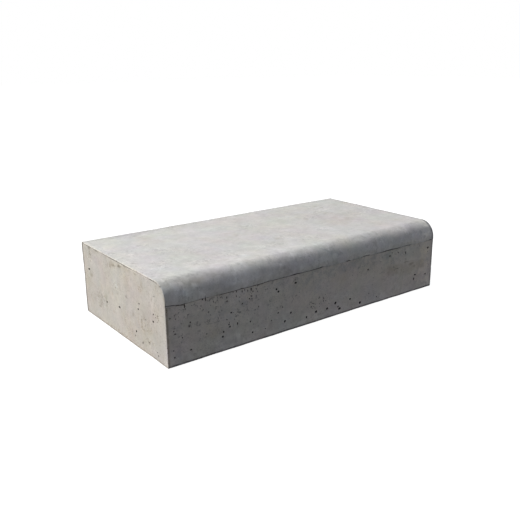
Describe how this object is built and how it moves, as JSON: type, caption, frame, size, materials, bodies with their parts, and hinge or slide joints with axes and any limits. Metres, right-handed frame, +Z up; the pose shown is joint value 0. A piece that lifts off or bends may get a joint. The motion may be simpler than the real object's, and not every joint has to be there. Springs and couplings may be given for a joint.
{
  "type": "concrete kerb stone",
  "caption": "Straight precast concrete kerb stone: a flat rectangular block with a rolled nose along its top front edge, and a fine mould joint below the nose and round each end.",
  "frame": {"origin": "middle of the bed face, the face that the stone lies on", "axes": "+X along the kerb line; the rolled nose is on the front, towards -Y; +Z up from the bed to the top"},
  "size_m": [1, 0.5, 0.22],
  "materials": {
    "concrete": "matte"
  },
  "bodies": {
    "root": {"kerb_stone": "concrete"}
  },
  "joints": []
}
